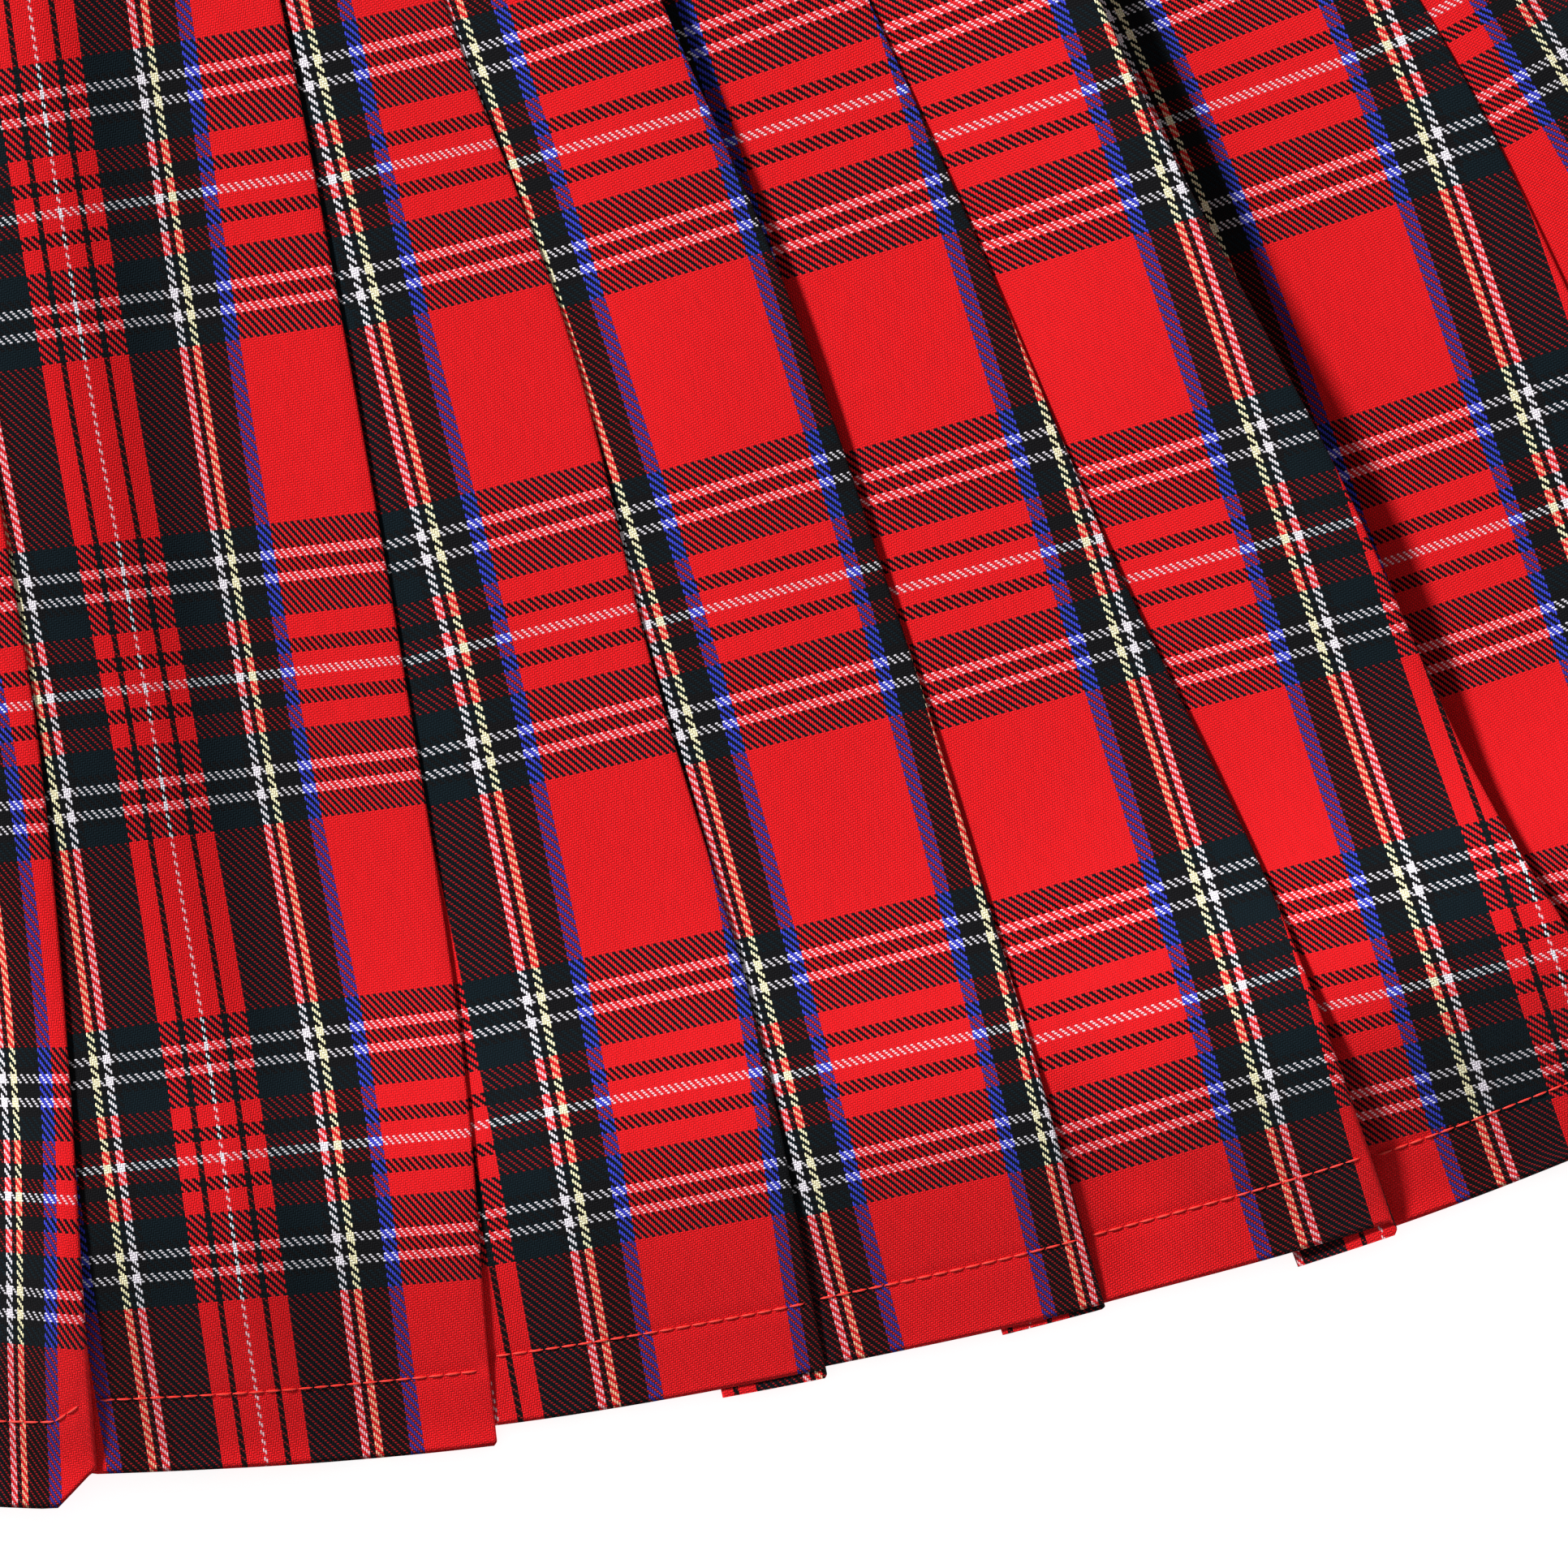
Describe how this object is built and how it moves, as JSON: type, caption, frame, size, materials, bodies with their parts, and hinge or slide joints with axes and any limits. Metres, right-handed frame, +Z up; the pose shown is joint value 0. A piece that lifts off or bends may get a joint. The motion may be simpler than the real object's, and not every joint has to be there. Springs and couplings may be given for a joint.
{
  "type": "pleated skirt",
  "caption": "Knife-pleated tartan skirt laid flat, front over back, with a shaped waistband that buttons at the side.",
  "frame": {"origin": "under the middle of the laid skirt's box, on the surface that it lies on", "axes": "+X towards the wearer's left side, +Y towards the waist, +Z up out of the front"},
  "size_m": [0.8618, 0.4724, 0.0193],
  "materials": {
    "tartan": "matte woven twill",
    "button": "satin moulded"
  },
  "bodies": {
    "root": {"front_panel": "tartan", "back_panel": "tartan", "waistband": "tartan", "waist_button": "button"}
  },
  "joints": []
}
